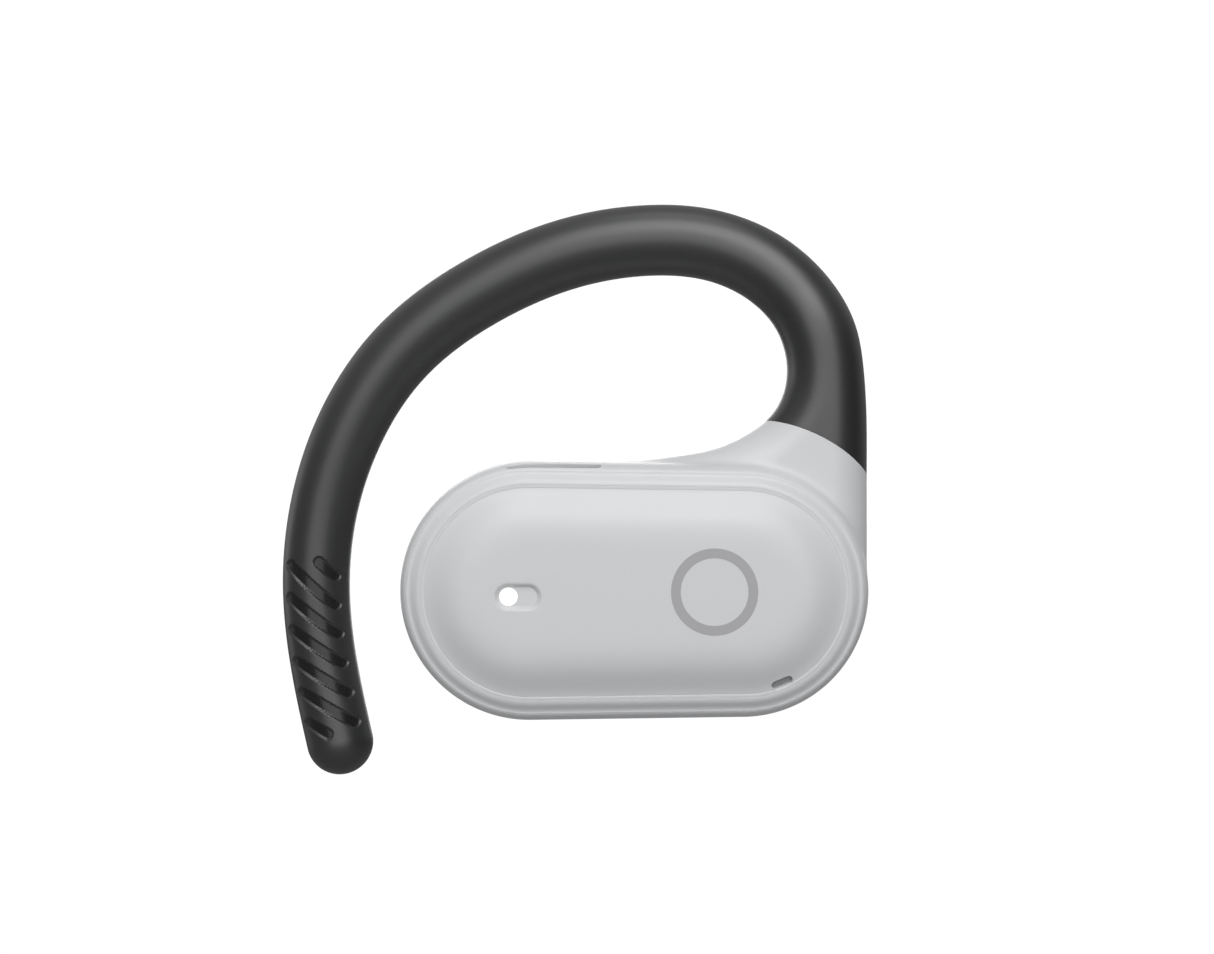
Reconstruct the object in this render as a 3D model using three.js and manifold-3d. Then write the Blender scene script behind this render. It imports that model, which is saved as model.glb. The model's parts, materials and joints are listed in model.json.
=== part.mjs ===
// Open-ear earphone with an ear hook: one right-hand earpiece, in millimetres.
// +X points to the front of the head, +Y towards the head and +Z up, so the outer face looks along -Y.
// The origin is where the underside of the hook's crest rests on the root of the ear.
import * as THREE from "three";
import { mergeVertices } from "three/addons/utils/BufferGeometryUtils.js";
import Module from "manifold-3d";

const wasm = await Module();
wasm.setup();

// ---- Driving dimensions ----

// Housing outline seen along Y: two circles joined by tangents.
const REAR_END = { x: -11.0, r: 10.8 };
const FRONT_END = { x: 6.7, r: 10.55 };
const HOUSING_Z = -26.7;
const PILL_SIDES = 28;

// Depths, from the outer face towards the ear.
const PLATEAU_Y = -9.6;
const FACE_EDGE_Y = -8.28;
const LIP_Y = -7.7;
const WIDEST_Y = -4.5;
const REAR_SEAM_Y = 0.5;
const EAR_FACE_Y = 2.4;

const GAP = 0.3; // between pieces that touch
const WALL = 1.25; // main shell
const PANEL_INSET = 2.05;
const BOARD_INSET = 3.3;

// Neck stations: inner edge x, z, outer edge x, z, y of the middle, half depth, squareness of the section.
const NECK = [
  [-0.9, -15.8, 16.8, -30.3, -3.2, 3.15, 3.0],
  [2.45, -15.35, 17.3, -26.8, -3.2, 3.15, 3.0],
  [5.15, -14.7, 17.35, -23.8, -3.2, 3.15, 2.9],
  [7.35, -13.6, 17.37, -20.45, -3.2, 3.15, 2.7],
  [8.95, -12.45, 17.37, -16.8, -3.2, 3.2, 2.5],
  [10.15, -10.75, 17.38, -12.85, -3.1, 3.2, 2.3],
  [10.6, -8.4, 17.15, -8.4, -2.95, 3.15, 2.1],
];
// Hook stations: centre x, y, z and radius.
const HOOK = [
  [13.25, -2.6, -5.05, 3.09],
  [9.7, -1.6, -0.05, 3.04],
  [4.2, -0.6, 2.6, 3.02],
  [-1.1, 0.0, 3.03, 3.03],
  [-7.8, 0.7, 2.0, 3.04],
  [-15.5, 1.4, -1.25, 3.03],
  [-22.45, 1.9, -6.5, 3.01],
  [-26.65, 2.2, -12.65, 2.99],
  [-28.9, 2.4, -18.85, 2.94],
  [-29.8, 2.4, -26.1, 2.9],
  [-29.1, 2.2, -33.55, 2.87],
  [-27.65, 1.8, -40.1, 2.86],
];
const FRONT_FLEX = NECK.length; // the stations where the hook bends
const CREST_FLEX = NECK.length + 4;
const REAR_FLEX = NECK.length + 7;
const TIP = NECK.length + HOOK.length - 1;
const HOOK_SIDES = 14;

const PARTING_RADIUS = 14.4; // the hook meets the neck on a cylinder round the housing's front end
const WIRE_RADIUS = 0.45;
const WIRE_BORE = 0.8;
const WIRE_START = 2.6; // stations
const WIRE_END = TIP - 0.25;
const INSERT_START = 2.5;
const INSERT_END = 4.25;
const INSERT_RADIUS = 1.9;
const SOCKET_RADIUS = 2.2;
const PIN = { r: 0.4, offset: 1.25, front: -5.7, back: -0.75 };

const POCKET = { x: -11.78, z: -27.0, length: 3.12, width: 1.54, flare: 0.42, floor: -9.24 };
const LENS = { x: POCKET.x - (POCKET.length - POCKET.width) / 2, z: POCKET.z, r: 0.7 };
const MIC_SLOT = { x: 9.8, z: -34.08, length: 1.85, width: 0.72, turn: 22 };
const VENT = { x: -8.88, y: -7.0, length: 7.75, width: 0.74 };
const GRIP = { pitch: 2.78, count: 7, width: 1.03, length: 4.9, turn: 46, depth: 0.35, first: 24.2 };

const BATTERY = { x: -11.0, z: HOUSING_Z, r: 6.0, front: -4.7, back: 0.1 };
const DRIVER = { x: 6.3, z: HOUSING_Z, r: 7.4, front: 0.3, back: -4.4 };
const BOARD = { front: -6.6, back: -5.8 };
const MIC = { x: 8.6, z: -32.0 };
const SCREWS = { rear: -16.6, front: 12.4 };
const OUTLET = { x: 5.8, z: -27.2, length: 7.2, width: 2.8 };
const CONTACTS = { x: -12.5, upper: -24.9, lower: -28.5, r: 0.9, face: 2.25 };

// ---- Solids ----

// Turns every face outwards.
function facingOut(geometry) {
  const p = geometry.attributes.position;
  const index = geometry.index.array;
  const [a, b, c] = [new THREE.Vector3(), new THREE.Vector3(), new THREE.Vector3()];
  let volume = 0;
  for (let i = 0; i < index.length; i += 3) {
    a.fromBufferAttribute(p, index[i]);
    b.fromBufferAttribute(p, index[i + 1]);
    c.fromBufferAttribute(p, index[i + 2]);
    volume += a.dot(b.cross(c));
  }
  if (volume < 0) {
    for (let i = 0; i < index.length; i += 3) {
      [index[i + 1], index[i + 2]] = [index[i + 2], index[i + 1]];
    }
  }
  return geometry;
}

// Skins a list of rings. A joined skin closes on itself; otherwise each end is capped from its middle.
function skin(rings, joined = false) {
  const sides = rings[0].length;
  const points = rings.flat().map((p) => p.clone());
  const faces = [];
  const spans = joined ? rings.length : rings.length - 1;
  for (let i = 0; i < spans; i++) {
    const next = (i + 1) % rings.length;
    for (let j = 0; j < sides; j++) {
      const k = (j + 1) % sides;
      faces.push(i * sides + j, i * sides + k, next * sides + k);
      faces.push(i * sides + j, next * sides + k, next * sides + j);
    }
  }
  if (!joined) {
    for (const end of [0, rings.length - 1]) {
      const middle = new THREE.Vector3();
      rings[end].forEach((p) => middle.addScaledVector(p, 1 / sides));
      const hub = points.push(middle) - 1;
      for (let j = 0; j < sides; j++) {
        const [p, q] = [end * sides + j, end * sides + ((j + 1) % sides)];
        faces.push(...(end ? [p, q, hub] : [q, p, hub]));
      }
    }
  }
  const geometry = new THREE.BufferGeometry().setFromPoints(points);
  geometry.setIndex(faces);
  return facingOut(geometry);
}

// A three.js geometry as a manifold-3d solid.
function solid(geometry) {
  const bare = geometry.clone();
  bare.deleteAttribute("normal");
  bare.deleteAttribute("uv");
  const merged = mergeVertices(bare, 1e-4);
  return new wasm.Manifold(
    new wasm.Mesh({
      numProp: 3,
      vertProperties: new Float32Array(merged.attributes.position.array),
      triVerts: new Uint32Array(merged.index.array),
    }),
  );
}

// A manifold-3d solid as a three.js geometry.
function geometryOf(made) {
  const mesh = made.getMesh();
  const geometry = new THREE.BufferGeometry();
  geometry.setAttribute("position", new THREE.BufferAttribute(mesh.vertProperties, 3));
  geometry.setIndex(new THREE.BufferAttribute(mesh.triVerts, 1));
  geometry.computeVertexNormals();
  return geometry;
}

// The housing's outline, moved inwards by inset, at depth y.
function pillRing(inset, y) {
  const lean = Math.asin((REAR_END.r - FRONT_END.r) / (FRONT_END.x - REAR_END.x));
  const top = Math.PI / 2 - lean;
  const half = PILL_SIDES / 2;
  const arc = (end, from, to) =>
    Array.from({ length: half + 1 }, (_, i) => {
      const a = from + ((to - from) * i) / half;
      const r = end.r - inset;
      return new THREE.Vector3(end.x + r * Math.cos(a), y, HOUSING_Z + r * Math.sin(a));
    });
  return [...arc(FRONT_END, -top, top), ...arc(REAR_END, top, 2 * Math.PI - top)];
}

// A solid whose profile is a list of [inset, y], swept round the housing's outline.
const pillSolid = (profile) => solid(skin(profile.map(([inset, y]) => pillRing(inset, y))));
// The same for a closed profile, which leaves a ring.
const pillBand = (profile) => solid(skin(profile.map(([inset, y]) => pillRing(inset, y)), true));
const pillPlate = (inset, y0, y1) => pillSolid([[inset, y0], [inset, y1]]);
const flatBand = (outer, inner, y0, y1) => pillBand([[outer, y0], [outer, y1], [inner, y1], [inner, y0]]);

// A disc or rod along Y.
const rodY = (r, y0, y1, x, z, sides = 20) =>
  solid(new THREE.CylinderGeometry(r, r, y1 - y0, sides).translate(x, (y0 + y1) / 2, z));
const boxOf = (sx, sy, sz, x, y, z) => solid(new THREE.BoxGeometry(sx, sy, sz).translate(x, y, z));

// A shape turned on a line along Y: the profile is a list of [radius, y].
function turned(profile, x, z, sides = 24) {
  const points = profile.map(([r, y]) => new THREE.Vector2(r, y));
  const geometry = new THREE.LatheGeometry(points, sides).translate(x, 0, z);
  const bare = geometry.clone();
  bare.deleteAttribute("normal");
  bare.deleteAttribute("uv");
  return solid(facingOut(mergeVertices(bare, 1e-4)));
}

// A slot with round ends, as a 2-D shape.
function slotShape(length, width) {
  const shape = new THREE.Shape();
  const reach = (length - width) / 2;
  shape.absarc(reach, 0, width / 2, -Math.PI / 2, Math.PI / 2);
  shape.absarc(-reach, 0, width / 2, Math.PI / 2, (3 * Math.PI) / 2);
  return shape;
}

// A slot-shaped prism along Y, from y0 to y1, turned by degrees.
function slotY(length, width, y0, y1, x, z, turn = 0) {
  const prism = new THREE.ExtrudeGeometry(slotShape(length, width), {
    depth: y1 - y0,
    bevelEnabled: false,
    curveSegments: 5,
  });
  prism.rotateZ(THREE.MathUtils.degToRad(turn));
  prism.rotateX(Math.PI / 2);
  return solid(prism.translate(x, y1, z));
}

// ---- The hook's sections ----

const spine = new THREE.CatmullRomCurve3(HOOK.map(([x, y, z]) => new THREE.Vector3(x, y, z)));
const innerPoints = NECK.map(([x, z, , , y]) => new THREE.Vector3(x, y, z));
const outerPoints = NECK.map(([, , x, z, y]) => new THREE.Vector3(x, y, z));
HOOK.forEach(([x, y, z, r], i) => {
  const along = spine.getTangent(i / (HOOK.length - 1));
  const out = new THREE.Vector3(along.z, 0, -along.x).normalize();
  innerPoints.push(new THREE.Vector3(x, y, z).addScaledVector(out, -r));
  outerPoints.push(new THREE.Vector3(x, y, z).addScaledVector(out, r));
});
const innerEdge = new THREE.CatmullRomCurve3(innerPoints);
const outerEdge = new THREE.CatmullRomCurve3(outerPoints);
const girth = new THREE.CatmullRomCurve3([
  ...NECK.map(([, , , , , depth, square], i) => new THREE.Vector3(i, depth, square)),
  ...HOOK.map(([, , , r], i) => new THREE.Vector3(NECK.length + i, r, 2)),
]);

function centreAt(station) {
  const t = THREE.MathUtils.clamp(station / TIP, 0, 1);
  return innerEdge.getPoint(t).add(outerEdge.getPoint(t)).multiplyScalar(0.5);
}

function sectionAt(station) {
  const centre = centreAt(station);
  const along = centreAt(station + 0.02).sub(centreAt(station - 0.02)).normalize();
  const width = outerEdge.getPoint(station / TIP).sub(centre);
  const { y: depth, z: square } = girth.getPoint(station / TIP);
  const deep = new THREE.Vector3(0, 1, 0).addScaledVector(along, -along.y).normalize();
  return { centre, along, width, deep: deep.multiplyScalar(depth), square, radius: depth };
}

// The section's outline, scaled and moved along the hook.
function sectionRing(section, scale = 1, shift = 0) {
  const power = 2 / section.square;
  const bulge = (v) => Math.sign(v) * Math.abs(v) ** power;
  return Array.from({ length: HOOK_SIDES }, (_, i) => {
    const a = (2 * Math.PI * i) / HOOK_SIDES;
    return section.centre
      .clone()
      .addScaledVector(section.along, shift)
      .addScaledVector(section.width, scale * bulge(Math.cos(a)))
      .addScaledVector(section.deep, scale * bulge(Math.sin(a)));
  });
}

function ringsBetween(from, to, perStation = 2) {
  const count = Math.max(2, Math.round((to - from) * perStation));
  return Array.from({ length: count + 1 }, (_, i) => sectionRing(sectionAt(from + ((to - from) * i) / count)));
}

// A round end: rings that shrink over a half ball, centred on the flex point.
function ballRings(station) {
  const section = sectionAt(station);
  return [20, 40, 60, 78].map((degrees) => {
    const a = THREE.MathUtils.degToRad(degrees);
    return sectionRing(section, Math.cos(a), section.radius * Math.sin(a));
  });
}

// A hollow end that clears the ball before it by GAP at any angle: rings that open out to the hook's own width.
function cupRings(station) {
  const section = sectionAt(station);
  const r = section.radius + GAP;
  const mouth = Math.acos(section.radius / r);
  return [78, 60, 42, THREE.MathUtils.radToDeg(mouth)].map((degrees) => {
    const a = THREE.MathUtils.degToRad(degrees);
    return sectionRing(section, (r * Math.cos(a)) / section.radius, r * Math.sin(a));
  });
}

// A round bar along the hook's centre line.
class CentreLine extends THREE.Curve {
  constructor(from, to) {
    super();
    this.from = from;
    this.to = to;
  }
  getPoint(t) {
    return centreAt(THREE.MathUtils.lerp(this.from, this.to, t));
  }
}

function barAlong(from, to, radius, halfSides = 4, steps = Math.ceil((to - from) * 2)) {
  const circle = new THREE.Shape().absarc(0, 0, radius, 0, 2 * Math.PI);
  return solid(
    new THREE.ExtrudeGeometry(circle, {
      steps,
      extrudePath: new CentreLine(from, to),
      curveSegments: halfSides,
    }),
  );
}

const partingCylinder = (r) => rodY(r, -20, 20, FRONT_END.x, HOUSING_Z, 64);

// ---- Housing ----

function mainShell() {
  const outside = pillSolid([
    [1.1, -7.5], [0.96, LIP_Y], [0.72, -7.62], [0.42, -7.2], [0.14, -6.2], [0.03, -5.3], [0, WIDEST_Y],
    [0.03, -3.2], [0.15, -1.8], [0.4, -0.6], [0.75, 0.15], [1.02, REAR_SEAM_Y],
  ]);
  const neck = solid(skin(ringsBetween(0, 5.4))).intersect(partingCylinder(PARTING_RADIUS - GAP / 2));
  const inside = pillSolid([
    [1.03, -12], [1.03, -6.25], [WALL, -6.2], [WALL, -4.6], [2.15, -4.55], [2.15, -4.1], [WALL, -4.05],
    [WALL, -1.6], [2.15, -1.55], [2.15, -1.1], [WALL, -1.05], [WALL, 3],
  ]);
  const socket = barAlong(1.6, INSERT_END + 0.1, SOCKET_RADIUS, 7);
  const pinHole = rodY(PIN.r + 0.15, PIN.front - 0.15, PIN.back + 0.15, ROOT_PIN.x, ROOT_PIN.z, 12);
  const ventSides = { depth: 5, bevelEnabled: false, curveSegments: 5 };
  const vent = solid(
    new THREE.ExtrudeGeometry(slotShape(VENT.length, VENT.width), ventSides)
      .translate(VENT.x, VENT.y, HOUSING_Z + 8),
  );
  return outside.add(neck).subtract(inside).subtract(socket).subtract(pinHole).subtract(vent);
}

function coverBezel() {
  const shoulder = pillBand([
    [1.1, -6.55], [1.1, -7.76], [1.3, -7.94], [1.5, -8.11], [1.7, -8.22], [1.95, -8.27],
    [1.97, -7.4], [3.0, -7.4], [3.0, -6.9], [2.05, -6.8], [2.05, -5.3], [1.55, -5.3], [1.55, -6.55],
  ]);
  const ventNotch = boxOf(VENT.length + 0.2, 1.1, 3, VENT.x, VENT.y, HOUSING_Z + 9.3);
  const micPort = rodY(0.5, -8, -6, MIC_SLOT.x, MIC_SLOT.z, 12);
  return shoulder.subtract(ventNotch).subtract(micPort);
}

function facePanel() {
  const outside = pillSolid([
    [PANEL_INSET, -7.7], [PANEL_INSET, FACE_EDGE_Y], [2.8, -8.48], [3.4, -8.78], [4.3, -9.2],
    [5.6, -9.53], [7.4, PLATEAU_Y],
  ]);
  const hollow = pillSolid([[3.2, -7], [3.2, -7.9], [4.4, -8.55]]);
  const ring = (grow, y) =>
    slotShape(POCKET.length + 2 * grow, POCKET.width + 2 * grow)
      .getPoints(5)
      .slice(0, -1)
      .map((p) => new THREE.Vector3(POCKET.x + p.x, y, POCKET.z + p.y));
  const steep = (PLATEAU_Y - 0.4 - POCKET.floor) / (PLATEAU_Y - POCKET.floor);
  const pocket = solid(skin([ring(0, POCKET.floor), ring(POCKET.flare * steep, PLATEAU_Y - 0.4)]));
  const lensHole = rodY(LENS.r + 0.05, -12, -7, LENS.x, LENS.z);
  const mic = slotY(MIC_SLOT.length, MIC_SLOT.width, -12, -7, MIC_SLOT.x, MIC_SLOT.z, MIC_SLOT.turn);
  return outside.subtract(hollow).subtract(pocket).subtract(lensHole).subtract(mic);
}

// The mound over the speaker, as a dome stretched along X.
function mound(baseRadius, topRadius, topY, fromY) {
  const dome = new THREE.LatheGeometry(
    [
      [0, fromY], [baseRadius, fromY], [baseRadius, 1.9], [baseRadius - 0.5, 2.6],
      [(baseRadius + topRadius) / 2, topY - 0.55], [topRadius, topY], [0, topY],
    ].map(([r, y]) => new THREE.Vector2(r, y)),
    28,
  );
  dome.scale(1.18, 1, 1).translate(OUTLET.x, 0, OUTLET.z);
  return solid(facingOut(mergeVertices(stripped(dome), 1e-4)));
}

function stripped(geometry) {
  geometry.deleteAttribute("normal");
  geometry.deleteAttribute("uv");
  return geometry;
}

function earCover() {
  const seam = REAR_SEAM_Y + GAP;
  const outside = pillSolid([
    [1.02, seam], [1.45, 1.3], [2.2, 1.85], [3.4, 2.25], [5.0, EAR_FACE_Y],
  ]);
  const lip = flatBand(WALL + GAP, 2.05, -0.6, seam + 0.2);
  const inside = pillSolid([[2.05, -1], [2.05, 0.85], [2.9, 1.25], [4.2, 1.4]]);
  const outlet = slotY(OUTLET.length, OUTLET.width, 0, 6, OUTLET.x, OUTLET.z);
  let made = outside.add(mound(7.0, 4.2, 4.4, 1.0)).subtract(inside).add(lip);
  made = made.subtract(mound(6.2, 3.6, 3.5, 0.2)).subtract(outlet);
  for (const z of [CONTACTS.upper, CONTACTS.lower]) {
    made = made.subtract(rodY(CONTACTS.r + 0.08, 1.9, 4, CONTACTS.x, z));
    made = made.subtract(rodY(0.68, 0, 4, CONTACTS.x, z, 14));
  }
  return made;
}

// ---- Inside the housing ----

function lightPipe() {
  return turned(
    [
      [0, -9.34], [LENS.r - 0.12, -9.34], [LENS.r, -9.24], [LENS.r, -8.0],
      [1.3, -8.0], [1.3, -7.6], [0.6, -7.35], [0, -7.35],
    ],
    LENS.x, LENS.z, 20,
  );
}

function mainBoard() {
  let board = pillPlate(BOARD_INSET, BOARD.front, BOARD.back);
  for (const x of Object.values(SCREWS)) board = board.subtract(rodY(0.75, -8, -4, x, HOUSING_Z, 14));
  return board;
}

function innerFrame() {
  let frame = pillPlate(BOARD_INSET, -5.5, -5.0);
  frame = frame.add(rodY(7.0, -5.1, -4.0, BATTERY.x, BATTERY.z, 24));
  frame = frame.subtract(rodY(BATTERY.r + 0.35, -5.0, -3, BATTERY.x, BATTERY.z, 24));
  frame = frame.subtract(rodY(4.2, -7, -3, BATTERY.x + 0.6, BATTERY.z, 24));
  frame = frame.subtract(rodY(5.0, -7, -3, DRIVER.x - 0.4, DRIVER.z, 32));
  for (const x of Object.values(SCREWS)) {
    frame = frame.add(rodY(1.5, -5.75, -5.2, x, HOUSING_Z, 16));
    frame = frame.subtract(rodY(0.75, -8, -5.05, x, HOUSING_Z, 14));
  }
  return frame;
}

function screw(x) {
  const driveSlot = boxOf(1.5, 0.5, 0.3, x, -7.2, HOUSING_Z);
  const profile = [[0, -7.2], [1.0, -7.2], [1.1, -7.05], [1.1, -6.65], [0.6, -6.65], [0.6, -5.15], [0, -5.1]];
  return turned(profile, x, HOUSING_Z, 16).subtract(driveSlot);
}

const chip = (w, h, x, z, height = 0.6) => boxOf(w, height, h, x, BOARD.front - 0.02 - height / 2, z);

function micGasket() {
  return boxOf(2.6, 0.3, 1.8, MIC.x, -7.72, MIC.z).subtract(rodY(0.4, -9, -6, MIC.x, MIC.z, 12));
}

function driverFrame() {
  return turned(
    [
      [5.8, -1.8], [DRIVER.r, -1.8], [DRIVER.r, DRIVER.front], [6.8, DRIVER.front],
      [6.8, -1.2], [5.8, -1.2], [5.8, -1.8],
    ],
    DRIVER.x, DRIVER.z, 24,
  );
}

function driverYoke() {
  return turned(
    [[0, DRIVER.back], [5.4, DRIVER.back], [5.6, -4.2], [5.6, -1.25], [5.0, -1.25], [5.0, -3.7], [0, -3.7]],
    DRIVER.x, DRIVER.z, 24,
  );
}

function voiceCoil() {
  return turned([[4.45, -2.6], [4.75, -2.6], [4.75, -0.36], [4.45, -0.36], [4.45, -2.6]], DRIVER.x, DRIVER.z, 24);
}

function diaphragm() {
  return turned(
    [[0, 0.42], [2.2, 0.3], [4.2, -0.1], [4.7, -0.15], [5.6, 0.15], [6.5, -0.15],
      [6.5, -0.3], [5.6, 0.0], [4.8, -0.3], [4.2, -0.3], [2.2, 0.12], [0, 0.25]],
    DRIVER.x, DRIVER.z, 24,
  );
}

function driverGasket() {
  const ring = [[6.7, 0.36], [7.35, 0.36], [7.35, 1.15], [6.7, 1.15], [6.7, 0.36]];
  return turned(ring, DRIVER.x, DRIVER.z, 24);
}

function chargeContact(z) {
  return turned(
    [[0, 1.1], [0.6, 1.1], [0.6, 1.98], [CONTACTS.r, 1.98], [CONTACTS.r, CONTACTS.face], [0, CONTACTS.face]],
    CONTACTS.x, z, 20,
  );
}

// ---- Hook ----

// The pin crosses the insert beside the wire.
const pinCentre = sectionAt(3.1);
pinCentre.centre.addScaledVector(pinCentre.width.normalize(), PIN.offset);
const ROOT_PIN = { x: pinCentre.centre.x, z: pinCentre.centre.z };
const bore = barAlong(WIRE_START - 0.1, WIRE_END + 0.1, WIRE_BORE);
const beadRoom = new THREE.SphereGeometry(1.35, 10, 8).translate(...centreAt(WIRE_END).toArray());

function sleeveRoot() {
  const rings = [...ringsBetween(3.4, FRONT_FLEX), ...ballRings(FRONT_FLEX)];
  const socket = barAlong(1.6, INSERT_END + 0.05, INSERT_RADIUS + 0.2, 7);
  return solid(skin(rings)).subtract(partingCylinder(PARTING_RADIUS + GAP / 2)).subtract(socket).subtract(bore);
}

// A length of the hook between two flex points: hollow at its start and round at its end.
function sleeveLength(from, to) {
  const rings = [...cupRings(from), ...ringsBetween(from + 0.3, to), ...ballRings(to)];
  return solid(skin(rings)).subtract(bore);
}

// A grip groove: a bar with round ends that lies across the tail at an angle and sinks in by the groove's depth.
function gripGroove(index, side) {
  const station = TIP - 2.05 + (index * GRIP.pitch * 2.05) / GRIP.first;
  const section = sectionAt(station + 0.16);
  const short = index === 0 || index === GRIP.count - 1;
  const length = short ? GRIP.length * 0.5 : GRIP.length;
  const sides = { depth: 3, bevelEnabled: false, curveSegments: 2 };
  const bar = new THREE.ExtrudeGeometry(slotShape(length, GRIP.width), sides);
  bar.translate((index === 0 ? 1 : index === GRIP.count - 1 ? -1 : 0) * GRIP.length * 0.22, 0, 0);
  bar.rotateZ(THREE.MathUtils.degToRad(GRIP.turn - 90));
  const across = section.width.clone().normalize().multiplyScalar(-side);
  const down = section.along.clone().negate();
  const out = section.deep.clone().normalize().multiplyScalar(-side);
  const lift = section.radius - GRIP.depth;
  bar.applyMatrix4(
    new THREE.Matrix4().makeBasis(across, down, out)
      .setPosition(section.centre.clone().addScaledVector(out, lift)),
  );
  return solid(bar);
}

function sleeveTail() {
  const rings = [...cupRings(REAR_FLEX), ...ringsBetween(REAR_FLEX + 0.3, TIP), ...ballRings(TIP)];
  let tail = solid(skin(rings)).subtract(bore).subtract(solid(beadRoom));
  for (const side of [1, -1]) {
    for (let i = 0; i < GRIP.count; i++) tail = tail.subtract(gripGroove(i, side));
  }
  return tail;
}

function rootInsert() {
  return barAlong(INSERT_START, INSERT_END, INSERT_RADIUS, 7)
    .subtract(barAlong(INSERT_START - 0.2, INSERT_END + 0.2, WIRE_BORE))
    .subtract(rodY(PIN.r + 0.15, -12, 6, ROOT_PIN.x, ROOT_PIN.z, 12));
}

function wireEndBead() {
  const bead = new THREE.SphereGeometry(1.05, 10, 8).translate(...centreAt(WIRE_END).toArray());
  return solid(bead).subtract(barAlong(WIRE_END - 1, WIRE_END + 0.05, WIRE_RADIUS + 0.12));
}

// ---- The named pieces ----

const plastic = { metalness: 0, roughness: 0.5 };
const COLOURS = {
  shell: { color: 0xc9cbcd, ...plastic },
  panel: { color: 0xc7c9cb, metalness: 0, roughness: 0.42 },
  silicone: { color: 0x3a3c3d, metalness: 0, roughness: 0.6 },
  lens: { color: 0xffffff, metalness: 0, roughness: 0.2 },
  mesh: { color: 0x77787a, metalness: 0.8, roughness: 0.45 },
  board: { color: 0x1f3d2b, ...plastic },
  chip: { color: 0x1b1b1d, ...plastic },
  silver: { color: 0xb9bbbd, metalness: 1, roughness: 0.3 },
  gold: { color: 0xd9b25a, metalness: 1, roughness: 0.25 },
  copper: { color: 0xb8673a, metalness: 1, roughness: 0.35 },
  frame: { color: 0x2a2b2d, ...plastic },
  rubber: { color: 0x242526, metalness: 0, roughness: 0.8 },
  film: { color: 0xc98f3a, metalness: 0, roughness: 0.4 },
  wire: { color: 0x8d8f92, metalness: 1, roughness: 0.35 },
};
const materials = Object.fromEntries(
  Object.entries(COLOURS).map(([name, values]) => [name, new THREE.MeshStandardMaterial(values)]),
);

const earphone = new THREE.Group();
function piece(name, made, material) {
  const mesh = new THREE.Mesh(geometryOf(made), materials[material]);
  mesh.name = name;
  earphone.add(mesh);
}

piece("main_shell", mainShell(), "shell");
piece("cover_bezel", coverBezel(), "shell");
piece("face_panel", facePanel(), "panel");
piece("ear_cover", earCover(), "shell");
piece("front_seal", flatBand(WALL + 0.1, 2.0, -4.95, -4.65), "rubber");
piece("rear_seal", flatBand(WALL + 0.1, 2.0, -1.0, -0.68), "rubber");
piece("light_pipe", lightPipe(), "lens");
piece("mic_mesh", slotY(1.75, 0.62, -8.1, -7.98, MIC_SLOT.x, MIC_SLOT.z, MIC_SLOT.turn), "mesh");
piece("vent_mesh", boxOf(VENT.length - 0.8, VENT.width - 0.1, 0.12, VENT.x, VENT.y, HOUSING_Z + 9.85), "mesh");
piece("speaker_mesh", slotY(OUTLET.length - 0.1, OUTLET.width - 0.1, 3.85, 4.0, OUTLET.x, OUTLET.z), "mesh");

piece("touch_sensor", pillPlate(4.8, -8.3, -8.1).subtract(rodY(1.45, -9, -7, LENS.x, LENS.z)), "film");
piece("main_board", mainBoard(), "board");
piece("bluetooth_chip", chip(4.2, 4.2, 1.0, -26.7), "chip");
piece("power_chip", chip(2.6, 2.6, -5.2, -24.2, 0.5), "chip");
piece("memory_chip", chip(2.0, 2.4, -4.6, -29.6, 0.5), "chip");
piece("crystal", chip(1.6, 1.2, 5.4, -24.0, 0.4), "silver");
piece("power_inductor", chip(2.0, 1.6, -8.6, -22.6, 0.9), "frame");
piece("indicator_led", chip(1.6, 0.8, LENS.x, LENS.z, 0.55), "lens");
piece("talk_microphone", chip(2.75, 1.85, MIC.x, MIC.z, 0.9), "silver");
piece("mic_gasket", micGasket(), "rubber");
piece("inner_frame", innerFrame(), "frame");
piece("board_screw_rear", screw(SCREWS.rear), "silver");
piece("board_screw_front", screw(SCREWS.front), "silver");

piece("battery", rodY(BATTERY.r, BATTERY.front, BATTERY.back, BATTERY.x, BATTERY.z, 24), "silver");
piece("battery_tab_positive", boxOf(2.0, 0.15, 6.0, BATTERY.x + 0.6, -4.83, BATTERY.z), "silver");
piece("battery_tab_negative", boxOf(2.0, 0.15, 6.0, BATTERY.x, 0.2, BATTERY.z + 1.0), "silver");
piece("battery_pad", rodY(5.0, 0.32, 0.6, BATTERY.x, BATTERY.z, 24), "rubber");
piece("contact_flex", boxOf(3.0, 0.2, 6.4, CONTACTS.x, 0.85, HOUSING_Z), "film");
piece("charge_contact_upper", chargeContact(CONTACTS.upper), "gold");
piece("charge_contact_lower", chargeContact(CONTACTS.lower), "gold");
piece("case_magnet", rodY(1.9, 0.3, 1.25, -3.6, HOUSING_Z, 20), "silver");
piece("antenna_flex", boxOf(12.0, 2.2, 0.2, -2.6, -2.85, HOUSING_Z + 8.2), "film");

piece("driver_frame", driverFrame(), "frame");
piece("driver_yoke", driverYoke(), "silver");
piece("driver_magnet", rodY(4.0, -3.62, -2.15, DRIVER.x, DRIVER.z, 24), "silver");
piece("driver_pole_plate", rodY(4.2, -2.12, -1.35, DRIVER.x, DRIVER.z, 24), "silver");
piece("driver_terminals", boxOf(4.0, 0.2, 2.2, DRIVER.x + 5.6 - 4.4, -4.55, DRIVER.z - 2.4), "board");
piece("voice_coil", voiceCoil(), "copper");
piece("diaphragm", diaphragm(), "film");
piece("driver_gasket", driverGasket(), "rubber");

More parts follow.
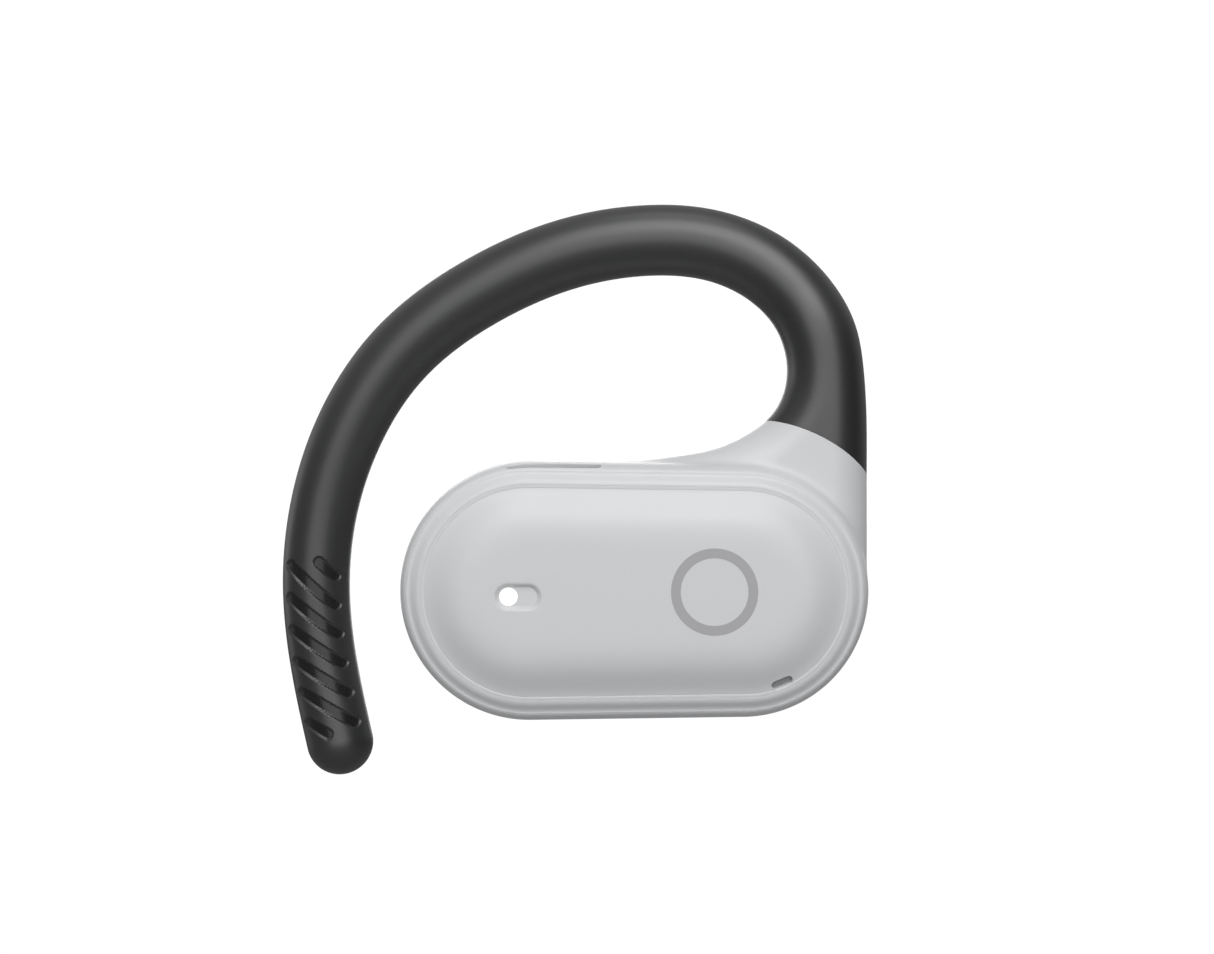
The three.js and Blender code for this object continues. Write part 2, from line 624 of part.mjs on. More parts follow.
piece("hook_root_insert", rootInsert(), "frame");
piece("root_pin", rodY(PIN.r, PIN.front, PIN.back, ROOT_PIN.x, ROOT_PIN.z, 12), "silver");
piece("core_wire", barAlong(WIRE_START, WIRE_END, WIRE_RADIUS), "wire");
piece("wire_end_bead", wireEndBead(), "wire");
piece("sleeve_root", sleeveRoot(), "silicone");
piece("sleeve_front", sleeveLength(FRONT_FLEX, CREST_FLEX), "silicone");
piece("sleeve_rear", sleeveLength(CREST_FLEX, REAR_FLEX), "silicone");
piece("sleeve_tail", sleeveTail(), "silicone");

export default earphone;
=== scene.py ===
import json
import math
from itertools import product

import bmesh
import bpy
import numpy as np
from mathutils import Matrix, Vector
from mathutils.geometry import tessellate_polygon


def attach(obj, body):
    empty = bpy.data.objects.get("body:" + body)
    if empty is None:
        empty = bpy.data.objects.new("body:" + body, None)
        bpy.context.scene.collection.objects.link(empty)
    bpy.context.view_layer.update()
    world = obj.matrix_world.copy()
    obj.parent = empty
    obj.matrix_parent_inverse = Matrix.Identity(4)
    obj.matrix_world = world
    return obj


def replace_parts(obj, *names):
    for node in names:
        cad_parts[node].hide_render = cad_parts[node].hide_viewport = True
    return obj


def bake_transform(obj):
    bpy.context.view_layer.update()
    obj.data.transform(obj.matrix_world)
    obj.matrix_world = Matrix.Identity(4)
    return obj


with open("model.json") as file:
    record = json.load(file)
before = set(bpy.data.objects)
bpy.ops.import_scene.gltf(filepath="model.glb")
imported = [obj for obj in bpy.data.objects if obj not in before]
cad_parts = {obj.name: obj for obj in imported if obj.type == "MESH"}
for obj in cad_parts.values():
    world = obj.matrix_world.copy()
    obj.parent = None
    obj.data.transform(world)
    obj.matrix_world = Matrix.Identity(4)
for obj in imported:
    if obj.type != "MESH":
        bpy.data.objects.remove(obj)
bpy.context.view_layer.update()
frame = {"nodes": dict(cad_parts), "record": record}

# Lengths below are in millimetres, as on the CAD drawing; meshes are written in metres.
MM = 0.001

# ---- Housing dimensions ----
REAR_X, REAR_R = -11.0, 10.8
FRONT_X, FRONT_R = 6.7, 10.55
HOUSING_Z = -26.7
WIDEST_Y = -4.5
LIP_Y = -7.7
LIP_INSET = 0.9
REAR_SEAM_Y = 0.62
REAR_ROUND_Y, REAR_ROUND_DEPTH, REAR_ROUND_INSET = -3.2, 4.2, 1.9
SHELL_REAR_Y = 0.9
OUTLINE_POINTS = 560
NET_LOW, NET_HIGH, NET_STEP = (-22.4, -8.3, -38.1), (18.2, 1.4, -9.4), 0.24

PARTING_RADIUS = 14.4
SEAM_GAP = 0.02

# ---- Neck: inner edge x, z and outer edge x, z, from the housing up to the hook ----
NECK_BASE = [(-6.5, -16.6, 12.9, -35.2), (-4.5, -16.35, 15.35, -32.95), (-0.9, -15.8, 16.78, -30.3),
             (2.45, -15.33, 17.3, -26.77), (5.15, -14.68, 17.37, -23.8)]
NECK_TOP = [(7.34, -13.62, 17.37, -20.45), (8.94, -12.44, 17.37, -16.82), (10.13, -10.75, 17.37, -12.86),
            (10.65, -8.4, 17.14, -8.4), (10.25, -5.92, 16.42, -4.39)]
NECK_INSIDE = [(8.0, -32.0), (-4.5, -22.0)]  # x, z where the outline closes, inside the housing
NECK_Y = -2.85
NECK_HALF = 3.32
HOOK_HALF = 3.07
NECK_REACH = 6.0
NECK_THINS_FROM, NECK_THINS_OVER = 3, 8
FAR = 9.0

# ---- Hook: centre x, y, z and radius, from above the neck to the tip ----
HOOK = [(9.7, -1.6, -0.05, 3.04), (4.2, -0.6, 2.6, 3.02), (-1.1, 0.0, 3.04, 3.03), (-7.8, 0.7, 2.0, 3.04),
        (-15.5, 1.4, -1.25, 3.03), (-22.45, 1.9, -6.5, 3.01), (-26.65, 2.2, -12.65, 2.99),
        (-28.9, 2.4, -18.85, 2.94), (-29.8, 2.4, -26.1, 2.9), (-29.1, 2.2, -33.55, 2.87),
        (-27.67, 1.8, -40.13, 2.86)]
FRONT_SEAM = 6.0
REAR_SEAM = 9.5
NECK_PART = 3.0
TUBE_PART = 4.6
SLEEVE_STEP, TUBE_SIDES = 0.28, 72
WIRE_R, WIRE_STEP, WIRE_SIDES = 0.45, 0.5, 16
WIRE_START, WIRE_END_GAP = 0.6, 1.6

# ---- Openings: the vent on the rim and the microphone's slot in the face ----
VENT_X, VENT_Y, VENT_LENGTH, VENT_WIDTH = -8.88, -7.1, 7.75, 0.76
VENT_OUT = (0.0, -0.387, 0.922)
VENT_RISE = 0.03
MIC_X, MIC_Z = 9.8, -34.08
MIC_LENGTH, MIC_WIDTH = 1.85, 0.72
MIC_RIGHT = (0.925, 0.0, 0.38)
MIC_OUT = (0.13, -0.94, -0.32)
MIC_GAUZE_DEPTH, VENT_GAUZE_DEPTH = 0.5, 0.36

SHARP_ANGLE = 32


# ---- Meshes ----
def make(name, points, faces, body="housing"):
    mesh = bpy.data.meshes.new(name)
    places = [tuple(p) for p in np.asarray(points) * MM]
    mesh.from_pydata(places, [], [tuple(map(int, f)) for f in faces])
    mesh.validate()
    bm = bmesh.new()
    bm.from_mesh(mesh)
    bmesh.ops.remove_doubles(bm, verts=bm.verts, dist=1e-7)
    bmesh.ops.recalc_face_normals(bm, faces=bm.faces)
    bm.to_mesh(mesh)
    bm.free()
    mesh.polygons.foreach_set("use_smooth", [True] * len(mesh.polygons))
    mesh.set_sharp_from_angle(angle=math.radians(SHARP_ANGLE))
    obj = bpy.data.objects.new(name, mesh)
    bpy.context.scene.collection.objects.link(obj)
    if body:
        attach(obj, body)
    return obj


def ring_faces(rows, columns, joined=False):
    faces = []
    for i in range(rows if joined else rows - 1):
        for j in range(columns):
            k = (j + 1) % columns
            n = (i + 1) % rows
            faces.append((i * columns + j, i * columns + k, n * columns + k, n * columns + j))
    return faces


def cut(obj, cutters):
    for cutter in cutters:
        modifier = obj.modifiers.new("cut", "BOOLEAN")
        modifier.operation = "DIFFERENCE"
        modifier.solver = "EXACT"
        modifier.object = cutter
    bpy.context.view_layer.update()
    evaluated = obj.evaluated_get(bpy.context.evaluated_depsgraph_get())
    mesh = bpy.data.meshes.new_from_object(evaluated)
    obj.modifiers.clear()
    obj.data = mesh
    mesh.polygons.foreach_set("use_smooth", [True] * len(mesh.polygons))
    mesh.set_sharp_from_angle(angle=math.radians(SHARP_ANGLE))
    for cutter in cutters:
        bpy.data.objects.remove(cutter)
    return obj


# ---- The housing's outline ----
def outline(count=OUTLINE_POINTS):
    """Centre x, radius and normal round the outline, spaced evenly."""
    lean = math.asin((REAR_R - FRONT_R) / (FRONT_X - REAR_X))
    top = math.pi / 2 - lean
    straight = (FRONT_X - REAR_X) * math.cos(lean)
    lengths = [2 * top * FRONT_R, straight, (2 * math.pi - 2 * top) * REAR_R, straight]
    places = np.arange(count) / count * sum(lengths)
    result = []
    for s in places:
        if s < lengths[0]:
            result.append((FRONT_X, FRONT_R, -top + s / FRONT_R))
            continue
        s -= lengths[0]
        if s < lengths[1]:
            t = s / straight
            result.append((FRONT_X + (REAR_X - FRONT_X) * t, FRONT_R + (REAR_R - FRONT_R) * t, top))
            continue
        s -= lengths[1]
        if s < lengths[2]:
            result.append((REAR_X, REAR_R, top + s / REAR_R))
            continue
        t = (s - lengths[2]) / straight
        result.append((REAR_X + (FRONT_X - REAR_X) * t, REAR_R + (FRONT_R - REAR_R) * t, -top))
    x, r, a = np.array(result).T
    return x, r, np.cos(a), np.sin(a)


OUTLINE = outline()


def pill_rings(profile):
    x, r, nx, nz = OUTLINE
    rings = [np.stack([x + (r - inset) * nx, np.full_like(x, y), HOUSING_Z + (r - inset) * nz], 1)
             for inset, y in profile]
    return np.concatenate(rings)


def rounded(profile, radius=0.12, steps=4):
    """The profile with each corner rounded. The first and last points stay."""
    pts = np.array(profile, float)
    out = [pts[0]]
    for before, corner, after in zip(pts, pts[1:], pts[2:]):
        a, b = before - corner, after - corner
        reach = min(radius, 0.45 * np.linalg.norm(a), 0.45 * np.linalg.norm(b))
        p, q = corner + a / np.linalg.norm(a) * reach, corner + b / np.linalg.norm(b) * reach
        for t in np.linspace(0, 1, steps + 1):
            out.append((1 - t) ** 2 * p + 2 * t * (1 - t) * corner + t ** 2 * q)
    out.append(pts[-1])
    return np.array(out)


def pill_tool(name, profile):
    """A closed tool that follows the housing's outline."""
    columns = OUTLINE_POINTS
    faces = ring_faces(len(profile), columns)
    last = (len(profile) - 1) * columns
    faces += [tuple(range(columns)), tuple(last + j for j in range(columns))]
    return make(name, pill_rings(profile), faces, body=None)


def pill_band(name, profile):
    return make(name, pill_rings(profile), ring_faces(len(profile), OUTLINE_POINTS, True))


# ---- Smooth curves ----
def spline(points, per_span=24):
    """A curve with smooth curvature through the points, as (station, values) samples."""
    pts = np.array(points, float)
    n = len(pts)
    system = np.zeros((n, n))
    right = np.zeros_like(pts)
    system[0, 0] = system[-1, -1] = 1
    gaps = np.maximum(np.linalg.norm(np.diff(pts[:, :3], axis=0), axis=1), 1e-6)
    for i in range(1, n - 1):
        system[i, i - 1:i + 2] = gaps[i - 1], 2 * (gaps[i - 1] + gaps[i]), gaps[i]
        right[i] = 3 * ((pts[i + 1] - pts[i]) / gaps[i] - (pts[i] - pts[i - 1]) / gaps[i - 1])
    c = np.linalg.solve(system, right)
    stations, values = [], []
    for i in range(n - 1):
        h = gaps[i]
        b = (pts[i + 1] - pts[i]) / h - h * (2 * c[i] + c[i + 1]) / 3
        d = (c[i + 1] - c[i]) / (3 * h)
        for t in np.arange(per_span) / per_span:
            stations.append(i + t)
            values.append(pts[i] + b * t * h + c[i] * (t * h) ** 2 + d * (t * h) ** 3)
    stations.append(n - 1.0)
    values.append(pts[-1])
    return np.array(stations), np.array(values)


# ---- The hook's sections ----
def hook_rows():
    """Middle x, y, z, inner edge x, z, outer edge x, z and half depth, from inside the neck to the tip."""
    rows = [((ix + ox) / 2, NECK_Y, (iz + oz) / 2, ix, iz, ox, oz, HOOK_HALF) for ix, iz, ox, oz in NECK_TOP]
    rows[-1] = rows[-1][:1] + (NECK_Y + 0.2,) + rows[-1][2:]
    centres = np.array([rows[-1][:3]] + [h[:3] for h in HOOK])
    places = spline(centres, 8)[1]
    for i, (x, y, z, r) in enumerate(HOOK):
        k = 8 * (i + 1)
        along = places[min(k + 1, len(places) - 1)] - places[k - 1]
        ox, oz = np.array([along[2], -along[0]]) / math.hypot(along[0], along[2]) * r
        rows.append((x, y, z, x - ox, z - oz, x + ox, z + oz, r))
    return rows


HOOK_ROWS = hook_rows()


# ---- The shell's outer form ----
def pill_distance(x, z):
    """Distance outside the outline, and its direction in x and z."""
    side = np.where(z - HOUSING_Z < 0, -1.0, 1.0)
    across, along = np.abs(z - HOUSING_Z), x - REAR_X
    length = FRONT_X - REAR_X
    b = (REAR_R - FRONT_R) / length
    a = math.sqrt(1 - b * b)
    k = -b * across + a * along
    rear, front = np.hypot(across, along), np.hypot(across, along - length)
    at_rear, at_front = k < 0, k > a * length
    straight = across * a + along * b - REAR_R
    d = np.where(at_rear, rear - REAR_R, np.where(at_front, front - FRONT_R, straight))
    gx = np.where(at_rear, along / np.maximum(rear, 1e-9),
                  np.where(at_front, (along - length) / np.maximum(front, 1e-9), b))
    gz = np.where(at_rear, across / np.maximum(rear, 1e-9),
                  np.where(at_front, across / np.maximum(front, 1e-9), a))
    return d, gx, gz * side


def neck_outline():
    sides = []
    for pick in (0, 2):
        base = [(row[pick], 0, row[pick + 1]) for row in NECK_BASE + NECK_TOP]
        hook = [(row[3 + pick], 0, row[4 + pick]) for row in HOOK_ROWS[len(NECK_TOP):len(NECK_TOP) + 3]]
        sides.append(spline(base + hook, 20)[1][:, [0, 2]])
    return np.concatenate([sides[0], sides[1][::-1], NECK_INSIDE])


NECK_POLYGON = neck_outline()


def neck_distance(x, z):
    """Distance outside the neck's outline, and its direction in x and z."""
    p = np.stack([x, z], 1)
    start = NECK_POLYGON
    end = np.roll(start, -1, axis=0)
    edge = end - start
    d, gx, gz = np.empty(len(p)), np.empty(len(p)), np.empty(len(p))
    d[:], gx[:], gz[:] = FAR, 1.0, 0.0
    near = np.flatnonzero(x > NECK_BASE[0][0] - 1.5)
    for i in range(0, len(near), 4000):
        chunk = near[i:i + 4000]
        q = p[chunk]
        rel = q[:, None] - start[None]
        t = np.clip((rel * edge).sum(2) / (edge ** 2).sum(1), 0, 1)
        away = rel - t[..., None] * edge
        size = (away ** 2).sum(2)
        nearest = size.argmin(1)
        pick = np.arange(len(q))
        vector = away[pick, nearest]
        distance = np.sqrt(size[pick, nearest])
        above = (start[None, :, 1] <= q[:, None, 1]) != (end[None, :, 1] <= q[:, None, 1])
        slope = np.where(np.abs(edge[:, 1]) < 1e-12, 1e-12, edge[:, 1])
        crossing = start[:, 0] + (q[:, None, 1] - start[:, 1]) / slope * edge[:, 0]
        inside = (above & (q[:, None, 0] < crossing)).sum(1) % 2 == 1
        sign = np.where(inside, -1.0, 1.0)
        d[chunk] = sign * distance
        unit = vector / np.maximum(distance, 1e-9)[:, None] * sign[:, None]
        gx[chunk], gz[chunk] = unit[:, 0], unit[:, 1]
    return d, gx, gz


def pill_form(d, y):
    """The pill alone: distance outside it, from the distance outside its outline and the depth."""
    front = np.clip((WIDEST_Y - y) / (WIDEST_Y - LIP_Y), 0, 0.995)
    rear = np.clip((y - REAR_ROUND_Y) / REAR_ROUND_DEPTH, 0, 0.98)
    inset = LIP_INSET * (1 - np.sqrt(1 - front ** 2)) + REAR_ROUND_INSET * (1 - np.sqrt(1 - rear ** 2))
    steep = LIP_INSET / (WIDEST_Y - LIP_Y) * front / np.sqrt(1 - front ** 2)
    steep += REAR_ROUND_INSET / REAR_ROUND_DEPTH * rear / np.sqrt(1 - rear ** 2)
    wall = (inset + d) / np.sqrt(1 + steep ** 2)
    return np.maximum(wall, np.maximum(LIP_Y - y, y - SHELL_REAR_Y))


def neck_form(pill_d, d, y):
    """The neck alone: fully rounded at its edges, and a little thinner towards the hook."""
    t = np.clip((pill_d - NECK_THINS_FROM) / NECK_THINS_OVER, 0, 1)
    half = NECK_HALF + (HOOK_HALF - NECK_HALF) * t * t * (3 - 2 * t)
    qx, qy = d + half, np.abs(y - NECK_Y)
    return np.hypot(np.maximum(qx, 0), qy) - half


def shell_form(pill_d, neck_d, y, blend_width=0.5):
    a, b = pill_form(pill_d, y), np.maximum(neck_form(pill_d, neck_d, y), pill_d - NECK_REACH)
    h = np.maximum(blend_width - np.abs(a - b), 0) / blend_width
    return np.minimum(a, b) - h * h * blend_width / 4


def settle(points, form, rounds=4):
    """Moves points onto the surface where form is zero."""
    p = points.copy()
    small = 1e-4
    for _ in range(rounds):
        pd, pgx, pgz = pill_distance(p[:, 0], p[:, 2])
        nd, ngx, ngz = neck_distance(p[:, 0], p[:, 2])
        f = form(pd, nd, p[:, 1])
        by_pill = (form(pd + small, nd, p[:, 1]) - form(pd - small, nd, p[:, 1])) / (2 * small)
        by_neck = (form(pd, nd + small, p[:, 1]) - form(pd, nd - small, p[:, 1])) / (2 * small)
        by_y = (form(pd, nd, p[:, 1] + small) - form(pd, nd, p[:, 1] - small)) / (2 * small)
        g = np.stack([by_pill * pgx + by_neck * ngx, by_y, by_pill * pgz + by_neck * ngz], 1)
        p -= np.clip(f / np.maximum((g ** 2).sum(1), 0.05), -0.1, 0.1)[:, None] * g
    return p


def surface_net(form, low, high, step):
    """A mesh of square cells round the surface where form is zero."""
    axes = [np.arange(a, b + step, step) for a, b in zip(low, high)]
    x, z = np.meshgrid(axes[0], axes[2], indexing="ij")
    pd = pill_distance(x.ravel(), z.ravel())[0].reshape(x.shape)
    nd = neck_distance(x.ravel(), z.ravel())[0].reshape(x.shape)
    value = form(pd[:, None, :], nd[:, None, :], axes[1][None, :, None])
    inside = value < 0
    nx, ny, nz = (n - 1 for n in inside.shape)
    count = sum(inside[i:nx + i, j:ny + j, k:nz + k].astype(int) for i, j, k in product((0, 1), repeat=3))
    mixed = (count > 0) & (count < 8)
    number = np.full(mixed.shape, -1)
    number[mixed] = np.arange(mixed.sum())
    cells = np.argwhere(mixed)
    points = np.stack([axes[i][cells[:, i]] + step / 2 for i in range(3)], 1)
    faces = []
    for axis in range(3):
        u, v = (axis + 1) % 3, (axis + 2) % 3
        first = [slice(None)] * 3
        second = [slice(None)] * 3
        first[axis], second[axis] = slice(0, -1), slice(1, None)
        change = inside[tuple(first)] != inside[tuple(second)]
        edges = np.argwhere(change)
        edges = edges[(edges[:, u] > 0) & (edges[:, v] > 0)]
        edges = edges[(edges[:, u] < inside.shape[u] - 1) & (edges[:, v] < inside.shape[v] - 1)]
        eu, ev = np.eye(3, dtype=int)[u], np.eye(3, dtype=int)[v]
        around = [edges - eu - ev, edges - ev, edges, edges - eu]
        quads = np.stack([number[tuple(c.T)] for c in around], 1)
        outward = inside[tuple(edges.T)]
        quads[~outward] = quads[~outward][:, ::-1]
        faces.append(quads)
    faces = np.concatenate(faces)
    return points, faces[(faces >= 0).all(1)]


def relax(points, faces, form, rounds=3):
    """Evens out the cells, keeping them on the surface."""
    links = np.concatenate([faces[:, [0, 1]], faces[:, [1, 2]], faces[:, [2, 3]], faces[:, [3, 0]]])
    links = np.unique(np.sort(links, axis=1), axis=0)
    points = settle(points, form, 3)
    for _ in range(rounds):
        total = np.zeros_like(points)
        count = np.zeros(len(points))
        for a, b in ((0, 1), (1, 0)):
            np.add.at(total, links[:, a], points[links[:, b]])
            np.add.at(count, links[:, a], 1)
        points = settle(0.4 * points + 0.6 * total / count[:, None], form, 2)
    return settle(points, form, 3)


# ---- The hook's tube ----
STATIONS, SPINE = spline(HOOK_ROWS, 60)
LENGTHS = np.concatenate([[0], np.cumsum(np.linalg.norm(np.diff(SPINE[:, :3], axis=0), axis=1))])


def spine_at(s):
    """Centre, direction, side and depth axes, half width and half depth at lengths s along the hook."""
    values = np.stack([np.interp(s, LENGTHS, SPINE[:, i]) for i in range(SPINE.shape[1])], 1)
    step = 0.15
    along = np.stack([np.interp(s + step, LENGTHS, SPINE[:, i]) - np.interp(s - step, LENGTHS, SPINE[:, i])
                      for i in range(3)], 1)
    along /= np.linalg.norm(along, axis=1)[:, None]
    across = values[:, 5:7] - values[:, 3:5]
    width = np.linalg.norm(across, axis=1) / 2
    side = np.stack([across[:, 0], np.zeros(len(s)), across[:, 1]], 1) / (2 * width)[:, None]
    deep = np.array([0, 1.0, 0]) - along * along[:, 1:2]
    deep /= np.linalg.norm(deep, axis=1)[:, None]
    return values[:, :3], along, side, deep, width, values[:, 7]


def length_at(station):
    return float(np.interp(station, STATIONS, LENGTHS))


def tube(name, s, radius=None, sides=TUBE_SIDES, round_end=False, displace=None, join_neck=False):
    """A tube along the hook, on no body yet. A round end adds half a ball past the last ring."""
    centre, along, side, deep, width, depth = spine_at(s)
    if radius is not None:
        width = depth = np.full(len(s), radius)
    angle = 2 * np.pi * np.arange(sides) / sides
    shift = np.zeros(len(s))
    if round_end:
        turn = np.linspace(0, np.pi / 2, 26)[1:-1]
        end = [np.repeat(a[-1:], len(turn), 0) for a in (centre, along, side, deep)]
        centre, along, side, deep = (np.concatenate([a, b]) for a, b in zip((centre, along, side, deep), end))
        shift = np.concatenate([shift, depth[-1] * np.sin(turn)])
        width = np.concatenate([width, width[-1] * np.cos(turn)])
        depth = np.concatenate([depth, depth[-1] * np.cos(turn)])
    out = side[:, None] * (np.cos(angle)[None] * width[:, None])[..., None]
    out += deep[:, None] * (np.sin(angle)[None] * depth[:, None])[..., None]
    points = centre[:, None] + along[:, None] * shift[:, None, None] + out
    rows = len(points)
    if displace is not None:
        sunk = displace(s, width[:len(s)], angle) / depth[:len(s), None]
        points[:len(s)] -= out[:len(s)] * sunk[..., None]
    points = points.reshape(-1, 3)
    if join_neck:
        low, high = length_at(NECK_PART), length_at(TUBE_PART)
        t = np.clip((high - np.repeat(s, sides)) / (high - low), 0, 1)
        weight = (t * t * (3 - 2 * t))[:, None]
        near = weight[:, 0] > 0
        on_neck = settle(points[near], neck_form, 8)
        points[near] = points[near] * (1 - weight[near]) + on_neck * weight[near]
    faces = ring_faces(rows, sides)
    faces += [tuple(range(sides)), tuple((rows - 1) * sides + j for j in range(sides))]
    return make(name, points, faces, body=None)


def slot_outline(length, width, count=40, spread=0):
    """A slot with round ends, as points round its edge, with spread points along each straight side."""
    reach = (length - width) / 2
    a = np.linspace(-np.pi / 2, np.pi / 2, count // 2)
    right = np.stack([reach + width / 2 * np.cos(a), width / 2 * np.sin(a)], 1)
    side = np.linspace(reach, -reach, spread + 2)[1:-1]
    upper = np.stack([side, np.full(spread, width / 2)], 1)
    return np.concatenate([right, upper, -right, -upper])


def slot_tool(name, centre, right, out, length, width, levels, count=40, spread=0):
    """A slot-shaped tool. Each level is (height along out, growth of the outline)."""
    right = np.array(right, float) / np.linalg.norm(right)
    out = np.array(out, float) / np.linalg.norm(out)
    up = np.cross(out, right)
    points = []
    for height, grow in levels:
        edge = slot_outline(length + 2 * grow, width + 2 * grow, count, spread)
        points.append(np.array(centre) + edge[:, :1] * right + edge[:, 1:] * up + height * out)
    rows, columns = len(levels), count + 2 * spread
    faces = ring_faces(rows, columns)
    faces += [tuple(range(columns)), tuple((rows - 1) * columns + j for j in range(columns))]
    return make(name, np.concatenate(points), faces, body=None)


# ---- Main shell ----
def main_shell():
    points, faces = surface_net(shell_form, NET_LOW, NET_HIGH, NET_STEP)
    points = relax(points, faces, shell_form)
    shell = make("shell", points, faces)
    recess = pill_tool("recess", [(0.96, -8.5), (0.96, -7.6), (1.03, -7.5), (1.03, -5.2), (1.3, -5.0),
                                  (1.3, 1.5)])
    rear = pill_tool("rear_cut", [(-12, REAR_SEAM_Y - SEAM_GAP), (-12, 3)])
    bpy.context.view_layer.update()
    parting = parting_tool("parting", PARTING_RADIUS - SEAM_GAP)
    cut(shell, [recess, rear])
    cut(shell, [parting])
    vent = slot_tool("vent", vent_place(0), (1, 0, VENT_RISE), VENT_OUT, VENT_LENGTH, VENT_WIDTH,
                     [(-0.45, 0), (-0.04, 0), (0.0, 0.012), (0.05, 0.05), (0.5, 0.4)], 56, spread=24)
    follow_outline(vent)
    cut(shell, [vent])
    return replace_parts(shell, "main_shell")


def vent_place(depth):
    """The vent's middle on the rim, sunk by depth, before the vent follows the outline."""
    front = (WIDEST_Y - VENT_Y) / (WIDEST_Y - LIP_Y)
    height = REAR_R - LIP_INSET * (1 - math.sqrt(1 - front ** 2))
    return np.array([VENT_X, VENT_Y, HOUSING_Z + height]) - np.array(VENT_OUT) * depth


def follow_outline(obj):
    """Bends a straight piece at the top of the housing to the housing's outline."""
    lean = (REAR_R - FRONT_R) / (FRONT_X - REAR_X)
    for vertex in obj.data.vertices:
        x = vertex.co.x / MM - REAR_X
        drop = REAR_R - math.sqrt(REAR_R ** 2 - x * x) if x < 0 else lean * x
        vertex.co.z -= drop * MM
    obj.data.update()


def parting_tool(name, inner, outer=40, depth=14, sides=240):
    """What lies outside the cylinder on which the hook meets the neck."""
    a = np.radians(np.linspace(5, 89, sides))
    rings = [np.array([(FRONT_X + r * c, y, HOUSING_Z + r * s) for r, y in
                       ((inner, -depth), (outer, -depth), (outer, depth), (inner, depth))])
             for c, s in zip(np.cos(a), np.sin(a))]
    faces = ring_faces(sides, 4)
    faces += [(0, 1, 2, 3), tuple((sides - 1) * 4 + j for j in range(4))]
    return make(name, np.concatenate(rings), faces, body=None)


def parting_core(name, radius, depth=14, sides=360):
    """What lies inside that cylinder."""
    a = 2 * np.pi * np.arange(sides) / sides
    rings = [np.stack([FRONT_X + radius * np.cos(a), np.full(sides, y), HOUSING_Z + radius * np.sin(a)], 1)
             for y in (-depth, depth)]
    faces = ring_faces(2, sides) + [tuple(range(sides)), tuple(sides + j for j in range(sides))]
    return make(name, np.concatenate(rings), faces, body=None)


# ---- Cover bezel ----
def bezel():
    """The raised shoulder: a soft foot on the lip, a rounded rise and a fine groove at its inner edge."""
    shoulder = [(0.83, -7.703), (0.93, -7.71), (1.0, -7.73), (1.1, -7.78), (1.2, -7.85), (1.3, -7.94),
                (1.4, -8.03), (1.5, -8.11), (1.6, -8.175), (1.7, -8.22), (1.8, -8.25), (1.88, -8.265),
                (1.94, -8.271)]
    smooth = spline([(a, 0, b) for a, b in shoulder], 3)[1][:, [0, 2]]
    inner = [(1.952, -8.268), (1.957, -8.258), (1.96, -8.2), (1.96, -7.45), (3.0, -7.4), (3.0, -6.9),
             (2.05, -6.8), (2.05, -5.3), (1.55, -5.3), (1.5, -7.5), (0.98, -7.6)]
    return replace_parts(pill_band("bezel", np.concatenate([smooth, inner])), "cover_bezel")


# ---- Face panel ----
PLATEAU_INSET, PLATEAU_Y = 7.5, -9.6
FACE_EDGE = (2.28, -8.285)
POCKET_X, POCKET_Z = -11.78, -27.0
POCKET_LENGTH, POCKET_WIDTH, POCKET_DEPTH = 3.12, 1.54, 0.36
POCKET_SPREAD = 1.72  # growth of the width, where the length grows by 2
POCKET_LEVELS = [(0.6, 0.0), (0.44, 0.0), (0.38, 0.01), (0.32, 0.035), (0.26, 0.08), (0.2, 0.14),
                 (0.02, 0.34), (0.0, POCKET_DEPTH), (-0.06, POCKET_DEPTH)]
POCKET_POINTS = 72
LENS_X, LENS_R, LENS_SIDES = -12.57, 0.745, 48
RING_X, RING_Z = 4.2, -26.6
RING_INNER, RING_OUTER, RING_THICK, RING_SIDES = 2.75, 3.55, 0.012, 96


def face_profile():
    """Inset and depth from the panel's edge up to the plateau: steepest a little way in, then flattening."""
    inset = np.concatenate([np.linspace(FACE_EDGE[0], 2.8, 8), np.linspace(2.9, PLATEAU_INSET, 60)])
    u = inset - FACE_EDGE[0]
    slope = np.where(u < 1, 0.55 + 0.45 * np.sin(np.pi / 2 * u), np.exp(-((u - 1) / 1.9) ** 2))
    rise = np.concatenate([[0], np.cumsum((slope[1:] + slope[:-1]) / 2 * np.diff(inset))])
    return np.stack([inset, FACE_EDGE[1] + (PLATEAU_Y - FACE_EDGE[1]) * rise / rise[-1]], 1)


